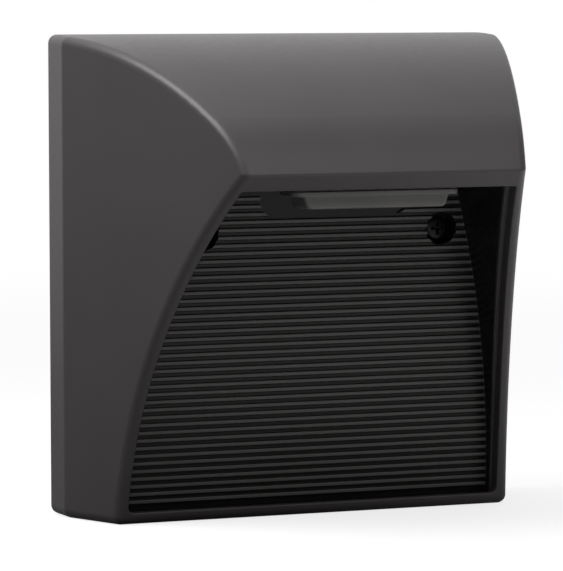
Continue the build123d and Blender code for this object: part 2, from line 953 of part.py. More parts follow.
lead_on_board_z = board_bottom - led_lead_r - thread_gap
lead_joint_depth = lens_depth - led_size
lead_high_z = soffit_top + led_lead_rise
for name, x, end_x in zip(("led_lead_positive", "led_lead_negative"), led_lead_x, led_pad_x):
    route = [
        (x, lead_entry_depth, lead_end_z),
        (x + led_lead_sway[0], lead_entry_depth, lead_end_z + led_lead_climb),
        (x + led_lead_sway[1], lead_entry_depth + led_lead_forward[0], block_z + led_lead_run / 2),
        (x + led_lead_sway[2], lead_entry_depth + led_lead_forward[1], lead_high_z),
        (end_x, clip_depth - led_lead_turn, lead_high_z),
        (end_x, clip_depth - led_lead_landing, lead_on_board_z),
        (end_x, lead_joint_depth, lead_on_board_z),
    ]
    save(name, lead(route, led_lead_r))

earth_route = [
    (block_pole_pitch, pole_depth, block_z + block_height / 6),
    (block_pole_pitch, pole_depth, block_z + block_height / 2 + earth_lead_rise),
    (block_pole_pitch + earth_lead_sway, (pole_depth + barrel_depth) / 2, earth_z - earth_lead_rise),
    (barrel_end - ring_barrel_length - earth_lead_straight, barrel_depth, earth_z),
    (barrel_end - earth_lead_tail, barrel_depth, earth_z),
]
save("earth_lead", lead(earth_route, mains_lead_r))

# Clip that holds the two diode leads on the soffit
clip_from = led_pad_x[0] - led_lead_r - seat_gap - clip_wall
clip_to = led_pad_x[1] + led_lead_r + seat_gap + clip_wall
clip_top = lead_on_board_z + led_lead_r + seat_gap
lead_clip = block(clip_from, clip_to, clip_depth, clip_depth + clip_width, soffit_top, clip_top + clip_wall)
lead_clip -= block(
    clip_from + clip_wall, clip_to - clip_wall, clip_depth - 1, clip_depth + clip_width + 1, 0, clip_top
)
save("lead_clip", lead_clip)


# Cover screws with their sealing washers
cover_screw = cross_screw(cover_head_r, cover_head_h, cover_screw_r, cover_screw_length)
for name, x in zip(("cover_screw_left", "cover_screw_right"), cover_sides):
    save(name, facing_front(x, cover_seat, cover_screw_z, cover_screw))
washer = [
    rod(x, cover_screw_z, cover_head_r + seat_gap, counterbore_bottom, cover_seat)
    - rod(x, cover_screw_z, cover_screw_r + washer_gap, 0, clear_depth)
    for x in cover_sides
]
save("cover_screw_washers", Compound(washer))


# Wall base: plate with skirt, seal groove, pillars, wall slots and cable entry
base_half_x = width / 2 - wall - moving_gap
base_half_z = height / 2 - wall - moving_gap


def base_ring(depth_from, depth_to, outer_inset, inner_inset):
    corner = max(base_corner - outer_inset, 0.5)
    hole = max(base_corner - inner_inset, 0.5)
    solid = forward(
        RectangleRounded(2 * (base_half_x - outer_inset), 2 * (base_half_z - outer_inset), corner),
        depth_from,
        depth_to,
    )
    return solid - forward(
        RectangleRounded(2 * (base_half_x - inner_inset), 2 * (base_half_z - inner_inset), hole),
        depth_from - 1,
        depth_to + 1,
    )


base = forward(RectangleRounded(2 * base_half_x, 2 * base_half_z, base_corner), 0, base_thickness)
base += base_ring(base_thickness - 1, skirt_depth, 0, skirt_wall)
seal_from = seal_depth
seal_to = seal_from + base_seal_width
base -= base_ring(seal_from, seal_to, -1, base_seal_inset)
base -= base_ring(-1, gasket_thickness, gasket_margin, gasket_margin + gasket_width)
for x in cover_sides:
    base += rod(x, cover_screw_z, pillar_r, base_thickness / 2, pillar_end)
    for angle in (0, 90):
        gusset = Box(2 * pillar_r + 2 * gusset_reach, gusset_height, gusset_thickness)
        base += (
            Pos(x, -base_thickness - gusset_height / 2, cover_screw_z) * Rot(0, angle, 0) * gusset
        )
    base -= rod(x, cover_screw_z, insert_r, pillar_end - insert_length, clear_depth)
    base -= rod(x, cover_screw_z, cover_screw_r + screw_clearance, cover_screw_tip - 2, clear_depth)
for side in (-1, 1):
    slot = Pos(side * slot_spacing / 2, 0) * SlotOverall(slot_length, slot_width)
    base -= forward(slot, -1, base_thickness + 1)
base -= rod(0, entry_z, entry_r, -1, base_thickness + 1)
base -= rod(0, entry_z, entry_r + grommet_lip, -1, grommet_back)
save("wall_base", base)

# Seals of the wall base and the grommet in its cable entry
save("base_seal", base_ring(seal_from, seal_to, -seal_stand, base_seal_inset))
save("wall_gasket", base_ring(0, gasket_thickness, gasket_margin, gasket_margin + gasket_width))
grommet = rod(0, entry_z, entry_r, 0, base_thickness)
grommet += rod(0, entry_z, entry_r + grommet_lip, 0, grommet_back)
grommet += rod(0, entry_z, entry_r + grommet_lip, base_thickness, base_thickness + grommet_lip)
grommet -= rod(0, entry_z, grommet_bore_r, -1, clear_depth)
save("cable_grommet", grommet)
pillar_inserts = [
    rod(x, cover_screw_z, insert_r, pillar_end - insert_length, pillar_end)
    - rod(x, cover_screw_z, cover_screw_r + running_gap, 0, clear_depth)
    for x in cover_sides
]
save("pillar_inserts", Compound(pillar_inserts))
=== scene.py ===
import math

import bmesh
import bpy
from mathutils import Matrix, Vector


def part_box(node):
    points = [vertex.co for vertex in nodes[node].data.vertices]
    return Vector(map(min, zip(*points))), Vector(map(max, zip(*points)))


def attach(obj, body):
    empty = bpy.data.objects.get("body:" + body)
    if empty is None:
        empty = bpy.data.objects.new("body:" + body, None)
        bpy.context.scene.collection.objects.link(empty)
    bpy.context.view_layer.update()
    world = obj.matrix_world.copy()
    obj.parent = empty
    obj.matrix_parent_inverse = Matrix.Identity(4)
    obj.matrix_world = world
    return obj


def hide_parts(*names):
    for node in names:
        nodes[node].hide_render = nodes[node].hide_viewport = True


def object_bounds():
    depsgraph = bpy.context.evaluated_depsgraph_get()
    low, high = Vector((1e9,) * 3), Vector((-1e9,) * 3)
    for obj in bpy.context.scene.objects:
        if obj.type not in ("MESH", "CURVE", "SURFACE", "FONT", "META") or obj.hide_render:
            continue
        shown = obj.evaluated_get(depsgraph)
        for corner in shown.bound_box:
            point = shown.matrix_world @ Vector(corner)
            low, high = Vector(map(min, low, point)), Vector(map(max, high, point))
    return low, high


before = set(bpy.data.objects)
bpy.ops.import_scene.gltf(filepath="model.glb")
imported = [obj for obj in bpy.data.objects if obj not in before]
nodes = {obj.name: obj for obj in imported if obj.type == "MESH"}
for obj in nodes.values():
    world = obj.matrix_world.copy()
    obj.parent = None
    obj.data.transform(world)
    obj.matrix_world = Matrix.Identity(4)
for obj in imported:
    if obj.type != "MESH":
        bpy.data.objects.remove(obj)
cad_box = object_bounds()


# Front housing: one aluminium die casting with its hood, cheeks, band and rim. It is blasted and
# powder coated in a smooth satin anthracite, which flows to a soft skin and thins on the edges.
class Layer:
    """One value, colour or direction in a finish. Arithmetic on it adds Math nodes."""

    def __init__(self, tree, socket):
        self.tree = tree
        self.socket = socket

    def node(self, kind, settings, values, out=0):
        made = self.tree.nodes.new(kind)
        for name, value in settings.items():
            setattr(made, name, value)
        for name, value in values.items():
            if isinstance(value, Layer):
                self.tree.links.new(value.socket, made.inputs[name])
            else:
                made.inputs[name].default_value = value
        return Layer(self.tree, made.outputs[out] if made.outputs else None)

    def maths(self, operation, first, second):
        return self.node("ShaderNodeMath", {"operation": operation}, {0: first, 1: second})

    def __add__(self, other):
        return self.maths("ADD", self, other)

    def __radd__(self, other):
        return self.maths("ADD", other, self)

    def __sub__(self, other):
        return self.maths("SUBTRACT", self, other)

    def __rsub__(self, other):
        return self.maths("SUBTRACT", other, self)

    def __mul__(self, other):
        return self.maths("MULTIPLY", self, other)

    def __rmul__(self, other):
        return self.maths("MULTIPLY", other, self)

    def clear(self, low, high):
        """0 below low, 1 above high, and a soft step between them."""
        settings = {"interpolation_type": "SMOOTHSTEP"}
        return self.node("ShaderNodeMapRange", settings, {0: self, 1: low, 2: high})

    def grain(self, per_metre, detail=3.0):
        values = {"Vector": self, "Scale": per_metre, "Detail": detail}
        return self.node("ShaderNodeTexNoise", {}, values)

    def cover(self, under, over):
        """The colour under with the colour over where this mask is 1."""
        return self.node("ShaderNodeMix", {"data_type": "RGBA"}, {0: self, 6: under, 7: over}, 2)

    def axis(self, name):
        return self.node("ShaderNodeSeparateXYZ", {}, {0: self}, name)


def start_finish(name):
    """A new material, and the place on the piece, in metres, as its first layer."""
    material = bpy.data.materials.new(name)
    material.use_nodes = True
    material.node_tree.nodes.clear()
    place = Layer(material.node_tree, None).node("ShaderNodeTexCoord", {}, {}, "Object")
    return material, place


def soft_edges(place, radius):
    """The normal with sharp edges rounded, and a mask of where they are."""
    rounded = place.node("ShaderNodeBevel", {"samples": 6}, {"Radius": radius})
    flat = place.node("ShaderNodeNewGeometry", {}, {}, "Normal")
    settings = {"operation": "DOT_PRODUCT"}
    same = place.node("ShaderNodeVectorMath", settings, {0: rounded, 1: flat}, "Value")
    return rounded, (1 - same).clear(0.01, 0.25)


def close_finish(place, colour, roughness, height, depth, normal, fixed):
    """The surface shader: height raises the skin by depth metres over the normal."""
    values = {"Height": height, "Distance": depth, "Normal": normal}
    bump = place.node("ShaderNodeBump", {}, values)
    values = {"Base Color": colour, "Roughness": roughness, "Normal": bump, **fixed}
    shader = place.node("ShaderNodeBsdfPrincipled", {}, values)
    place.node("ShaderNodeOutputMaterial", {}, {"Surface": shader})


def dress(names, material):
    for name in names:
        nodes[name].data.materials.clear()
        nodes[name].data.materials.append(material)


def grey(level, warmth=0.0):
    return (level * (1 + warmth), level, level * (1 - warmth), 1)


paint, place = start_finish("anthracite_powder_coat")
normal, edges = soft_edges(place, 0.0006)
flow = place.grain(420, 2)
speck = place.grain(5200, 2)
cloud = place.grain(24, 2)
tone = cloud.clear(0.3, 0.7).cover((0.041, 0.036, 0.038, 1), (0.045, 0.04, 0.042, 1))
tone = (speck.clear(0.62, 0.75) * 0.2).cover(tone, (0.064, 0.057, 0.06, 1))
tone = (edges * 0.3).cover(tone, (0.085, 0.078, 0.08, 1))
satin = 0.3 + flow * 0.08 + speck * 0.05 - edges * 0.06
skin = flow * 0.7 + speck * 0.3
close_finish(place, tone, satin, skin, 0.00002, normal, {"Specular IOR Level": 0.3})
dress(["front_housing"], paint)


# Ribbed tray: a single moulding in black polycarbonate with a finely grained, satin skin. The
# crests of its ribs carry a painted highlight: they are coloured paler than the grooves between them.
def moulded(name, colour, pale, gloss, grain_size, depth, fixed):
    """A moulded plastic: an even colour, slightly paler where edges rub, with a fine grain."""
    material, place = start_finish(name)
    normal, edges = soft_edges(place, 0.0003)
    grain = place.grain(1 / grain_size, 2)
    patch = place.grain(35, 2)
    tone = patch.clear(0.35, 0.65).cover(colour, pale)
    tone = (edges * 0.3).cover(tone, pale)
    satin = gloss + patch * 0.08 + grain * 0.06
    close_finish(place, tone, satin, grain, depth, normal, fixed)
    return material


tray_plastic, place = start_finish("tray_polycarbonate")
normal, edges = soft_edges(place, 0.0003)
grain = place.grain(4000, 2)
groove_foot_z = -0.0714
groove_foot_depth = 0.0285
groove_lean = 0.1545
groove_depth = groove_foot_depth + groove_lean * (place.axis("Z") - groove_foot_z)
rise = 0 - place.axis("Y") - groove_depth
# Painted highlight: a band at crest height on each rib is coloured paler, in place of the light the crests
# catch.
painted_crest_highlight = rise.clear(0.0005, 0.00085) * (1 - rise.clear(0.00095, 0.0011))
tone = painted_crest_highlight.cover(grey(0.008, 0.03), grey(0.085, 0.03))
satin = 0.2 + place.grain(35, 2) * 0.08 + grain * 0.06
close_finish(place, tone, satin, grain, 0.000003, normal, {"Specular IOR Level": 0.14})
dress(["ribbed_tray"], tray_plastic)


# Seals of the tray, the screws and the wall base, and the grommet in the cable entry: black
# silicone and rubber with a dull skin, pressed in place without glue.
rubber = moulded("seal_silicone", grey(0.012), grey(0.02), 0.62, 0.0004, 0.00002, {})
dress(["tray_seal", "cover_screw_washers", "base_seal", "cable_grommet"], rubber)


# Wall gasket: a ring of closed-cell foam, stamped from sheet and stuck in the back of the base.
# Its open cut cells make it rougher and greyer than the silicone.
foam, place = start_finish("gasket_foam")
normal, edges = soft_edges(place, 0.0004)
cells = place.node("ShaderNodeTexVoronoi", {"feature": "SMOOTH_F1"}, {"Vector": place, "Scale": 1600.0})
tone = cells.clear(0.1, 0.6).cover(grey(0.012), grey(0.035))
close_finish(place, tone, 0.75 + cells * 0.2, cells, 0.0002, normal, {})
dress(["wall_gasket"], foam)


# Lens: one frosted polycarbonate moulding with a flange, a hollow for the light and four snap
# hooks that hold it in the soffit. It is satined on its faces, so unlit it looks a soft grey.
def rounded_ring(centre, half_x, half_y, corner, z):
    """Forty points round a rectangle with round corners, anticlockwise seen from above."""
    ring = []
    for quarter in range(4):
        middle_x = (half_x - corner) * (1 if quarter in (0, 3) else -1)
        middle_y = (half_y - corner) * (1 if quarter in (0, 1) else -1)
        for step in range(10):
            angle = math.radians(90 * quarter + 10 * step)
            x = middle_x + corner * math.cos(angle)
            ring.append((centre.x + x, centre.y + middle_y + corner * math.sin(angle), z))
    return ring


def lay_rings(form, rings):
    """Adds a closed skin through rings with the same number of points, capped at both ends."""
    laid = [[form.verts.new(point) for point in ring] for ring in rings]
    count = len(laid[0])
    for near, far in zip(laid, laid[1:]):
        for i in range(count):
            j = (i + 1) % count
            form.faces.new((near[i], near[j], far[j], far[i]))
    form.faces.new(laid[0])
    form.faces.new(laid[-1])


def close_piece(name, form, materials, body, replaced):
    """Turns a form into a piece with outward faces, its finish, its body and what it replaces."""
    bmesh.ops.recalc_face_normals(form, faces=form.faces)
    mesh = bpy.data.meshes.new(name)
    form.to_mesh(mesh)
    form.free()
    for material in materials:
        mesh.materials.append(material)
    piece = bpy.data.objects.new(name, mesh)
    bpy.context.collection.objects.link(piece)
    mesh.shade_smooth()
    mesh.set_sharp_from_angle(angle=math.radians(35))
    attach(piece, body)
    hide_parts(*replaced)


lens_low, lens_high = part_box("lens")
lens_half_x = (lens_high.x - lens_low.x) / 2
lens_half_y = (lens_high.y - lens_low.y) / 2
lens_middle = (lens_low + lens_high) / 2
body_half_x = lens_half_x - 0.0036
body_half_y = lens_half_y - 0.0012
flange_bottom = lens_low.z + 0.0038
flange_top = flange_bottom + 0.0016
lens_drop = flange_bottom - lens_low.z
hollow = (0.0205, 0.003, 0.0008)
rings = [
    rounded_ring(lens_middle, *hollow, lens_low.z + 0.0015),
    rounded_ring(lens_middle, *hollow, flange_top),
    rounded_ring(lens_middle, lens_half_x - 0.0002, lens_half_y - 0.0002, 0.0043, flange_top),
    rounded_ring(lens_middle, lens_half_x, lens_half_y, 0.0045, flange_top - 0.0002),
    rounded_ring(lens_middle, lens_half_x, lens_half_y, 0.0045, flange_bottom + 0.0003),
    rounded_ring(
        lens_middle, lens_half_x - 0.0001, lens_half_y - 0.0001, 0.0044, flange_bottom + 0.0001
    ),
    rounded_ring(lens_middle, lens_half_x - 0.0003, lens_half_y - 0.0003, 0.0042, flange_bottom),
    rounded_ring(lens_middle, body_half_x + 0.0002, body_half_y + 0.0002, 0.0017, flange_bottom),
]
edge_round = 0.0008
end_draft = math.tan(math.radians(20))
for share in (0.04, 0.12, 0.45):
    run = lens_drop * share * end_draft
    level = flange_bottom - lens_drop * share
    rings.append(rounded_ring(lens_middle, body_half_x - run, body_half_y, 0.0015, level))
for step in range(5):
    turn = math.radians(22.5 * step)
    inset = edge_round * (1 - math.cos(turn))
    level = lens_low.z + edge_round * (1 - math.sin(turn))
    run = (flange_bottom - level) * end_draft
    half_x = body_half_x - run - inset
    rings.append(rounded_ring(lens_middle, half_x, body_half_y - inset, 0.0015, level))
form = bmesh.new()
lay_rings(form, rings)
soffit_top = flange_top + 0.0026
for hook_x in (-0.015, 0.015):
    for side in (-1, 1):
        outside = side * 0.0042
        inside = side * 0.003
        nose = side * 0.0052
        outline = (
            (inside, flange_top - 0.001),
            (outside, flange_top - 0.001),
            (outside, soffit_top + 0.0001),
            (nose, soffit_top + 0.0003),
            (nose, soffit_top + 0.0005),
            (outside, lens_high.z),
            (inside, lens_high.z),
        )
        left = lens_middle.x + hook_x - 0.004
        ends = (left, left + 0.008)
        lay_rings(form, [[(x, lens_middle.y + y, z) for y, z in outline] for x in ends])
dull = {"Specular IOR Level": 0.35}
frosted = moulded("lens_polycarbonate", grey(0.08, 0.03), grey(0.09, 0.03), 0.3, 0.0004, 0.000003, dull)
close_piece("lens_moulding", form, [frosted], "front", ["lens"])


# Lens gasket and thermal pad: soft sheet, die cut. The gasket lies between flange and soffit, the
# pad carries the heat of the board into the lamp shelf.
clear_silicone = moulded("gasket_silicone", grey(0.4), grey(0.5), 0.5, 0.0004, 0.00002, {})
dress(["lens_gasket"], clear_silicone)
pad_grey = moulded("pad_silicone", grey(0.32), grey(0.38), 0.7, 0.0005, 0.00003, {})
dress(["thermal_pad"], pad_grey)


# Light source: an aluminium-core board with white solder mask, screwed under the lamp shelf, and
# twelve diodes in white frames with a yellow phosphor window, soldered in one row.
board_white = moulded("board_solder_mask", grey(0.75), grey(0.8), 0.3, 0.0005, 0.000002, {})
dress(["led_board"], board_white)


class Steps:
    """One geometry in a tree of Geometry Nodes, with the calls that add to it."""

    def __init__(self, title, sizes):
        self.tree = bpy.data.node_groups.new(title, "GeometryNodeTree")
        face = self.tree.interface
        face.new_socket("Places", in_out="INPUT", socket_type="NodeSocketGeometry")
        self.keys = {}
        for name in sizes:
            socket = face.new_socket(name, in_out="INPUT", socket_type="NodeSocketFloat")
            self.keys[name] = socket.identifier
        face.new_socket("Pieces", in_out="OUTPUT", socket_type="NodeSocketGeometry")
        self.start = self.tree.nodes.new("NodeGroupInput")
        self.sizes = sizes

    def size(self, name):
        return self.start.outputs[name]

    def add(self, kind, settings, values, out=0):
        made = self.tree.nodes.new(kind)
        for name, value in settings.items():
            setattr(made, name, value)
        for name, value in values.items():
            if isinstance(value, (list, bpy.types.NodeSocket)):
                for link in value if isinstance(value, list) else [value]:
                    self.tree.links.new(link, made.inputs[name])
            else:
                made.inputs[name].default_value = value
        return made.outputs[out]

    def maths(self, operation, first, second):
        return self.add("ShaderNodeMath", {"operation": operation}, {0: first, 1: second})

    def vector(self, x=0.0, y=0.0, z=0.0):
        return self.add("ShaderNodeCombineXYZ", {}, {0: x, 1: y, 2: z})

    def moved(self, piece, offset):
        return self.add("GeometryNodeTransform", {}, {"Geometry": piece, "Translation": offset})

    def finished(self, piece, material):
        return self.add("GeometryNodeSetMaterial", {}, {"Geometry": piece, "Material": material})

    def close(self, pieces):
        end = self.tree.nodes.new("NodeGroupOutput")
        self.tree.links.new(pieces, end.inputs[0])

    def set_out(self, name, places, body, replaced):
        """Puts the tree on a mesh of places, and keeps its result as one plain piece."""
        mesh = bpy.data.meshes.new(name + "_places")
        mesh.from_pydata(places, [], [])
        holder = bpy.data.objects.new(name, mesh)
        bpy.context.collection.objects.link(holder)
        modifier = holder.modifiers.new("steps", "NODES")
        modifier.node_group = self.tree
        for size, value in self.sizes.items():
            modifier[self.keys[size]] = value
        bpy.context.view_layer.update()
        evaluated = holder.evaluated_get(bpy.context.evaluated_depsgraph_get())
        plain = bpy.data.meshes.new_from_object(evaluated)
        holder.modifiers.remove(modifier)
        holder.data = plain
        plain.shade_smooth()
        plain.set_sharp_from_angle(angle=math.radians(35))
        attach(holder, body)
        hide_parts(*replaced)


phosphor = moulded(
    "diode_phosphor", (0.8, 0.58, 0.1, 1), (0.85, 0.64, 0.16, 1), 0.3, 0.0002, 0.000002, {}
)
diode_frame = moulded("diode_frame", grey(0.75), grey(0.8), 0.35, 0.0003, 0.000002, {})
diode = Steps("diode_row", {"Width": 0.0028, "Height": 0.0005, "Window": 0.0011})
low = diode.maths("MULTIPLY", diode.size("Height"), -0.5)
outside = diode.vector(diode.size("Width"), diode.size("Width"), diode.size("Height"))
block = diode.add("GeometryNodeMeshCube", {}, {"Size": outside})
block = diode.finished(diode.moved(block, diode.vector(z=low)), diode_frame)
values = {"Segments": 24, "Rings": 10, "Radius": diode.size("Window")}
window = diode.add("GeometryNodeMeshUVSphere", {}, values)
face = diode.vector(z=diode.maths("MULTIPLY", diode.size("Height"), -1.0))
values = {"Geometry": window, "Scale": (1, 1, 0.18), "Translation": face}
window = diode.finished(diode.add("GeometryNodeTransform", {}, values), phosphor)
package = diode.add("GeometryNodeJoinGeometry", {}, {0: [block, window]})
values = {"Points": diode.start.outputs["Places"], "Instance": package}
row = diode.add("GeometryNodeInstanceOnPoints", {}, values)
diode.close(diode.add("GeometryNodeRealizeInstances", {}, {0: row}))
diode_low, diode_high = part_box("leds")
first = diode_low.x + 0.0014
pitch = (diode_high.x - diode_low.x - 0.0028) / 11
diode_y = (diode_low.y + diode_high.y) / 2
places = [(first + pitch * i, diode_y, diode_high.z) for i in range(12)]
diode.set_out("diodes", places, "front", ["leds"])


# Machine screws of the tray, the board, the driver and the terminal block: zinc-plated steel with
# chamfered heads, a cross recess and a rolled thread. Each group is one row of equal screws.
def plated(name, colour, gloss):
    """Plated or turned metal, slightly stained, with fine marks from the tool."""
    material, place = start_finish(name)
    normal, edges = soft_edges(place, 0.0002)
    stain = place.grain(300, 3)
    tone = stain.clear(0.4, 0.7).cover(colour, [c * 0.8 for c in colour[:3]] + [1])
    fine = place.grain(4000, 2)
    close_finish(place, tone, gloss + stain * 0.15, fine, 0.000004, normal, {"Metallic": 1.0})
    return material


zinc = plated("zinc_plate", (0.62, 0.64, 0.66, 1), 0.25)


def screw_row(name, places, head_r, head_h, shank_r, length, turn, body, replaced):
    """Screws whose seats are at places; turned about X from pointing down."""
    sizes = {"Head radius": head_r, "Head height": head_h, "Shank radius": shank_r, "Length": length}
    screw = Steps(name + "_steps", sizes)
    head_height = screw.size("Head height")
    head_radius = screw.size("Head radius")
    full_length = screw.size("Length")

    def part(size, share):
        return screw.maths("MULTIPLY", size, share)

    def raised(piece, size, share):
        return screw.moved(piece, screw.vector(z=part(size, share)))

    values = {
        "Vertices": 32,
        "Radius Top": part(head_radius, 0.74),
        "Radius Bottom": head_radius,
        "Depth": part(head_height, 0.45),
    }
    crown = raised(screw.add("GeometryNodeMeshCone", {}, values), head_height, 0.55)
    wing = part(head_radius, 1.15)
    slim = part(head_radius, 0.26)
    cuts = []
    for size in (screw.vector(wing, slim, head_height), screw.vector(slim, wing, head_height)):
        cut = screw.add("GeometryNodeMeshCube", {}, {"Size": size})
        cuts.append(raised(cut, head_height, 1.15))
    values = {"Mesh 1": crown, "Mesh 2": cuts}
    crown = screw.add("GeometryNodeMeshBoolean", {"operation": "DIFFERENCE"}, values)
    values = {"Vertices": 32, "Radius": head_radius, "Depth": part(head_height, 0.55)}
    collar = raised(screw.add("GeometryNodeMeshCylinder", {}, values), head_height, 0.275)
    core = part(screw.size("Shank radius"), 0.82)
    values = {"Vertices": 24, "Radius": core, "Depth": full_length}
    shank = raised(screw.add("GeometryNodeMeshCylinder", {}, values), full_length, -0.5)
    pitch = shank_r * 0.36
    values = {
        "Resolution": 16,
        "Rotations": length * 0.94 / pitch,
        "Start Radius": core,
        "End Radius": core,
        "Height": part(full_length, 0.94),
    }
    helix = screw.add("GeometryNodeCurveSpiral", {}, values)
    values = {"Resolution": 4, "Radius": part(screw.size("Shank radius"), 0.17)}
    ridge = screw.add("GeometryNodeCurvePrimitiveCircle", {}, values)
    values = {"Curve": helix, "Profile Curve": ridge, "Fill Caps": True}
    thread = raised(screw.add("GeometryNodeCurveToMesh", {}, values), full_length, -0.98)
    whole = screw.add("GeometryNodeJoinGeometry", {}, {0: [crown, collar, shank, thread]})
    values = {"Points": screw.start.outputs["Places"], "Instance": whole, "Rotation": (turn, 0, 0)}
    row = screw.add("GeometryNodeInstanceOnPoints", {}, values)
    row = screw.add("GeometryNodeRealizeInstances", {}, {0: row})
    screw.close(screw.finished(row, zinc))
    screw.set_out(name, places, body, replaced)


facing_back = -math.pi / 2
facing_floor = math.pi
for name, head_r, head_h, shank_r, length in (
    ("tray_screws", 0.0029, 0.0022, 0.0015, 0.012),
    ("driver_screws", 0.0029, 0.0022, 0.0015, 0.008),
    ("terminal_block_screws", 0.002, 0.0018, 0.0012, 0.013),
):
    low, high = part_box(name)
    middle_z = (low.z + high.z) / 2
    places = [(x, high.y - head_h, middle_z) for x in (low.x + head_r, high.x - head_r)]
    screw_row(name + "_set", places, head_r, head_h, shank_r, length, facing_back, "front", [name])
low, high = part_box("led_board_screws")
middle_y = (low.y + high.y) / 2
head_r = 0.0023
head_h = 0.0014
places = [(x, middle_y, low.z + head_h) for x in (low.x + head_r, high.x - head_r)]
name = "led_board_screws"
screw_row(name + "_set", places, head_r, head_h, 0.00125, 0.008, facing_floor, "front", [name])
dress(["terminal_screws"], zinc)


# Cover screws: two stainless M4 pan heads in the counterbores of the recess, blackened so that they
# disappear there. Each has a cross recess, a plain neck and a cut thread into the wall base.
blackened = plated("blackened_steel", (0.02, 0.02, 0.021, 1), 0.36)
wing_half = 0.00052
wing_reach = 0.0021
corner_points = []
for quarter in range(4):
    across = Vector((math.cos(quarter * math.pi / 2), math.sin(quarter * math.pi / 2)))
    along = Vector((-across.y, across.x))
    corner_points += [
        across * wing_reach - along * wing_half,
        across * wing_reach + along * wing_half,
        across * wing_half + along * wing_half,
    ]
cross_outline = []
for start, end in zip(corner_points, corner_points[1:] + corner_points[:1]):
    cross_outline += [start.lerp(end, step / 4) for step in range(4)]
cross_angles = [math.atan2(point.y, point.x) for point in cross_outline]


def crown_height(radius):
    return 0.0028 - 0.00075 * (radius / 0.0039) ** 3


for side_name in ("left", "right"):
    low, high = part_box("cover_screw_" + side_name)
    axis_x = (low.x + high.x) / 2
    axis_z = (low.z + high.z) / 2
    seat_y = low.y + 0.0028

    def ring_at(points):
        return [(axis_x + u, seat_y - rise, axis_z + v) for u, v, rise in points]

    def circle(radius, rise):
        return ring_at([(radius * math.cos(a), radius * math.sin(a), rise) for a in cross_angles])

    rings = []
    for share, rise in ((0.42, 0.0011), (0.8, 0.0014)):
        rings.append(ring_at([(p.x * share, p.y * share, rise) for p in cross_outline]))
    rings.append(ring_at([(p.x, p.y, crown_height(p.length)) for p in cross_outline]))
    for radius in (0.0025, 0.0031, 0.0035):
        rings.append(circle(radius, crown_height(radius)))
    head_rim = ((0.0037, 0.0021), (0.00385, 0.0018), (0.0039, 0.0014), (0.0039, 0.00015), (0.00375, 0))
    neck = ((0.0021, 0), (0.00198, -0.0002), (0.00198, -0.006), (0.00165, -0.0064))
    for radius, rise in head_rim + neck:
        rings.append(circle(radius, rise))
    pitch = 0.0007
    for row_number in range(1, 84):
        rise = -0.0064 - row_number * pitch / 4
        points = []
        for a in cross_angles:
            phase = (rise / pitch + a / math.tau) % 1.0
            radius = 0.00165 + 0.00033 * max(0, 1 - abs(phase - 0.5) * 2.6)
            points.append((radius * math.cos(a), radius * math.sin(a), rise))
        rings.append(ring_at(points))
    rings += [circle(0.00165, -0.0213), circle(0.0011, high.y * -1 + seat_y)]
    form = bmesh.new()
    lay_rings(form, rings)
    name = "cover_screw_" + side_name
    close_piece(name + "_blackened", form, [blackened], "screw_" + side_name, [name])


# Driver: a white moulded case with its lid, and inside it a green board with a transformer and two
# electrolytic capacitors. It is screwed to two posts on the back of the tray.
driver_white = moulded("driver_plastic", grey(0.7, 0.02), grey(0.75, 0.02), 0.4, 0.0003, 0.00001, {})
dress(["driver_case", "driver_lid", "lead_clip"], driver_white)
board_green = moulded(
    "driver_board_mask", (0.02, 0.16, 0.06, 1), (0.03, 0.2, 0.08, 1), 0.3, 0.0003, 0.000004, {}
)
dress(["driver_board"], board_green)
ferrite = moulded("transformer_ferrite", grey(0.04), grey(0.06), 0.5, 0.0003, 0.00001, {})
tape = moulded("winding_tape", (0.75, 0.5, 0.06, 1), (0.8, 0.56, 0.1, 1), 0.3, 0.0006, 0.00001, {})
low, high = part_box("driver_transformer")
middle = (low + high) / 2
form = bmesh.new()


def slab_rings(low, high, round_by, steps=3):
    """Rings of a block whose edges toward the wall and the front are rounded, along Y."""
    rings = []
    centre = Vector(((low.x + high.x) / 2, (low.z + high.z) / 2))
    half = ((high.x - low.x) / 2, (high.z - low.z) / 2)
    turns = [math.pi / 2 * step / steps for step in range(steps + 1)]
    steps_in = [(round_by * (1 - math.sin(t)), round_by * (1 - math.cos(t))) for t in turns]
    levels = [(high.y - back, inset) for back, inset in reversed(steps_in)]
    levels += [(low.y + back, inset) for back, inset in steps_in]
    for y, inset in levels:
        flat = rounded_ring(centre, half[0] - inset, half[1] - inset, round_by, 0)
        rings.append([(x, y, z) for x, z, _ in flat])
    return rings


core_half = (high.z - low.z) * 0.28
core_low = Vector((low.x, low.y, middle.z - core_half))
core_high = Vector((high.x, high.y, middle.z + core_half))
lay_rings(form, slab_rings(core_low, core_high, 0.0004))
core_faces = len(form.faces)
winding_low = Vector((low.x + 0.003, low.y + 0.0008, low.z))
winding_high = Vector((high.x - 0.003, high.y - 0.0008, high.z))
lay_rings(form, slab_rings(winding_low, winding_high, 0.0012))
form.faces.ensure_lookup_table()
for face in form.faces[core_faces:]:
    face.material_index = 1
close_piece("transformer_wound", form, [ferrite, tape], "front", ["driver_transformer"])

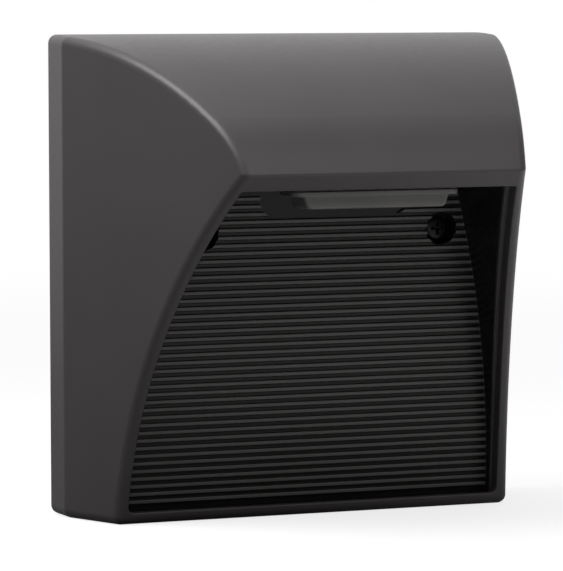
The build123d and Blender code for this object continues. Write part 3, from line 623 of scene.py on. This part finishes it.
sleeve = moulded(
    "capacitor_sleeve", (0.02, 0.03, 0.09, 1), (0.03, 0.045, 0.12, 1), 0.25, 0.0005, 0.000003, {}
)
can = plated("capacitor_can", (0.7, 0.7, 0.7, 1), 0.3)
low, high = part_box("driver_capacitors")
radius = (high.z - low.z) / 2
axis_z = (low.z + high.z) / 2
profile = (
    (0.72, 0.0), (0.92, 0.0), (1.0, 0.0004), (1.0, 0.0012), (0.9, 0.0016), (1.0, 0.002),
    (1.0, 0.0084), (0.96, 0.0088), (0.86, 0.009), (0.84, 0.0088), (0.3, 0.0088),
)
sleeve_rows = 8
angles = [math.tau * i / 40 for i in range(40)]
round_about = [(radius * math.cos(a), radius * math.sin(a)) for a in angles]
form = bmesh.new()
for axis_x in (low.x + radius, high.x - radius):
    first_face = len(form.faces)
    rings = []
    for share, rise in profile:
        rings.append([(axis_x + share * u, high.y - rise, axis_z + share * v) for u, v in round_about])
    lay_rings(form, rings)
    form.faces.ensure_lookup_table()
    for face in form.faces[first_face + len(angles) * sleeve_rows :]:
        face.material_index = 1
close_piece("capacitors_sleeved", form, [sleeve, can], "front", ["driver_capacitors"])


# Terminal block and leads: a moulded block with brass inserts, and stranded copper leads with
# coloured insulation that run to the driver, the diode board and the earth screw.
terminal_white = moulded(
    "terminal_polyamide", grey(0.66, 0.05), grey(0.72, 0.05), 0.42, 0.0003, 0.00001, {}
)
dress(["terminal_block"], terminal_white)
brass = plated("turned_brass", (0.72, 0.5, 0.2, 1), 0.25)
dress(["terminal_inserts", "earth_screw", "pillar_inserts"], brass)
tin = plated("tin_plate", (0.6, 0.6, 0.58, 1), 0.3)
dress(["earth_ring_terminal"], tin)
for lead_name, lead_colour in (
    ("live_lead", (0.12, 0.045, 0.02, 1)),
    ("neutral_lead", (0.02, 0.09, 0.42, 1)),
    ("led_lead_positive", (0.45, 0.02, 0.02, 1)),
    ("led_lead_negative", (0.01, 0.01, 0.01, 1)),
):
    insulation = moulded("insulation_" + lead_name, lead_colour, lead_colour, 0.35, 0.0004, 0.000004, {})
    dress([lead_name], insulation)
striped, place = start_finish("insulation_earth_lead")
normal, edges = soft_edges(place, 0.0003)
stripe = place.axis("Y").clear(-0.0355, -0.0345)
tone = stripe.cover((0.03, 0.25, 0.04, 1), (0.6, 0.55, 0.03, 1))
close_finish(place, tone, 0.35 + place.grain(900, 2) * 0.1, place.grain(2500, 2), 0.000004, normal, {})
dress(["earth_lead"], striped)


# Wall base: a plate with a skirt, two pillars and two wall slots, moulded in glass-filled black
# nylon. The glass shows as faint flow marks in a dull skin.
nylon, place = start_finish("base_nylon")
normal, edges = soft_edges(place, 0.0004)
values = {"Vector": place, "Scale": 60.0, "Detail": 4.0, "Distortion": 1.5}
flow = place.node("ShaderNodeTexNoise", {}, values)
grain = place.grain(3500, 2)
tone = flow.clear(0.35, 0.7).cover(grey(0.012), grey(0.02))
tone = (edges * 0.3).cover(tone, grey(0.03))
close_finish(place, tone, 0.42 + flow * 0.15 + grain * 0.05, grain, 0.00002, normal, {})
dress(["wall_base"], nylon)


# Where the light is photographed: a pale floor without a wall, soft lamps above, in front and close
# at the left, and a room that is brightest overhead. The floor throws less light back at the left.
floor_z = cad_box[0].z
floor = bpy.data.meshes.new("floor")
sweep = bmesh.new()
reach = 6.0
outline = ((-reach, -reach), (reach, -reach), (reach, reach), (-reach, reach))
sweep.faces.new([sweep.verts.new((x, y, floor_z)) for x, y in outline])
sweep.to_mesh(floor)
sweep.free()
floor_piece = bpy.data.objects.new("floor", floor)
bpy.context.collection.objects.link(floor_piece)
floor_finish, place = start_finish("floor_card")
near = place.node("ShaderNodeVectorMath", {"operation": "LENGTH"}, {0: place}, "Value")
far = near.clear(0.25, 1.2)
seen = place.node("ShaderNodeLightPath", {}, {}, "Is Camera Ray")
mirrored = place.node("ShaderNodeLightPath", {}, {}, "Is Glossy Ray")
through = place.node("ShaderNodeLightPath", {}, {}, "Is Transmission Ray")
in_front = (place.axis("X") * 0.8 - place.axis("Y")).clear(0.0, 0.2)
shown = seen + through + mirrored * (0.15 + in_front.maths("MAXIMUM", in_front, far) * 0.85)
shown = shown.maths("MINIMUM", shown, 1.0)
bounce = in_front.cover(grey(0.04), grey(0.7))
card = place.node("ShaderNodeBsdfDiffuse", {}, {"Color": shown.cover(bounce, grey(0.97))})
glow = place.node("ShaderNodeEmission", {}, {"Color": grey(1.0), "Strength": 1.0})
mixed = place.node("ShaderNodeMixShader", {}, {0: (0.75 + far * 0.25) * (seen + through), 1: card, 2: glow})
place.node("ShaderNodeOutputMaterial", {}, {"Surface": mixed})
floor.materials.append(floor_finish)

world = bpy.data.worlds.new("room")
world.use_nodes = True
bpy.context.scene.world = world
world.node_tree.nodes.clear()
start = Layer(world.node_tree, None)
direction = start.node("ShaderNodeTexCoord", {}, {}, "Generated")
up = direction.axis("Z")
behind = direction.axis("Y")
level = 0.3 + up.clear(0.25, 0.9) * 0.3 + behind.clear(-0.6, 1.0) * 0.3
seen = start.node("ShaderNodeLightPath", {}, {}, "Is Camera Ray")
mirrored = start.node("ShaderNodeLightPath", {}, {}, "Is Glossy Ray")
through = start.node("ShaderNodeLightPath", {}, {}, "Is Transmission Ray")
shown = seen + (mirrored + through) * behind.clear(0.4, 0.95)
shown = shown.maths("MINIMUM", shown, 1.0)
strength = level * (1 - shown) + shown
background = start.node("ShaderNodeBackground", {}, {"Color": grey(1.0), "Strength": strength})
start.node("ShaderNodeOutputWorld", {}, {"Surface": background})


def soft_lamp(name, place, aim, size, power):
    data = bpy.data.lights.new(name, "AREA")
    data.shape = "RECTANGLE"
    data.size = size[0]
    data.size_y = size[1]
    data.energy = power
    lamp = bpy.data.objects.new(name, data)
    lamp.location = place
    lamp.rotation_euler = (Vector(aim) - Vector(place)).to_track_quat("-Z", "Y").to_euler()
    bpy.context.collection.objects.link(lamp)


soft_lamp("top_lamp", (-0.15, 0.1, 0.75), (0, -0.04, 0), (0.7, 0.7), 1.25)
soft_lamp("front_lamp", (0.2, -0.6, 0.65), (0, -0.06, 0.02), (0.5, 0.5), 1.2)
soft_lamp("left_lamp", (-0.27, -0.05, 0.34), (-0.07, -0.03, 0.05), (0.25, 0.25), 1.8)


# Camera, matched to the edges of the light in the photograph.
image_size = (563, 571)
focal_pixels = 3850.8
turn = 0.402881
tilt = 0.072486
roll = -0.002381
camera_place = Vector((-0.478969, -1.132578, 0.083711))
ahead = Vector((math.sin(turn) * math.cos(tilt), math.cos(turn) * math.cos(tilt), -math.sin(tilt)))
right = Vector((math.cos(turn), -math.sin(turn), 0))
upward = right.cross(ahead)
camera_right = math.cos(roll) * right + math.sin(roll) * upward
camera_up = math.cos(roll) * upward - math.sin(roll) * right
view = bpy.data.cameras.new("camera")
view.sensor_width = 36
view.lens = focal_pixels * view.sensor_width / max(image_size)
view.clip_start = 0.05
view.clip_end = 60
camera = bpy.data.objects.new("camera", view)
facing = Matrix((camera_right, camera_up, -ahead)).transposed().to_4x4()
camera.matrix_world = Matrix.Translation(camera_place) @ facing
bpy.context.collection.objects.link(camera)
bpy.context.scene.camera = camera
bpy.context.scene.view_settings.view_transform = "Standard"
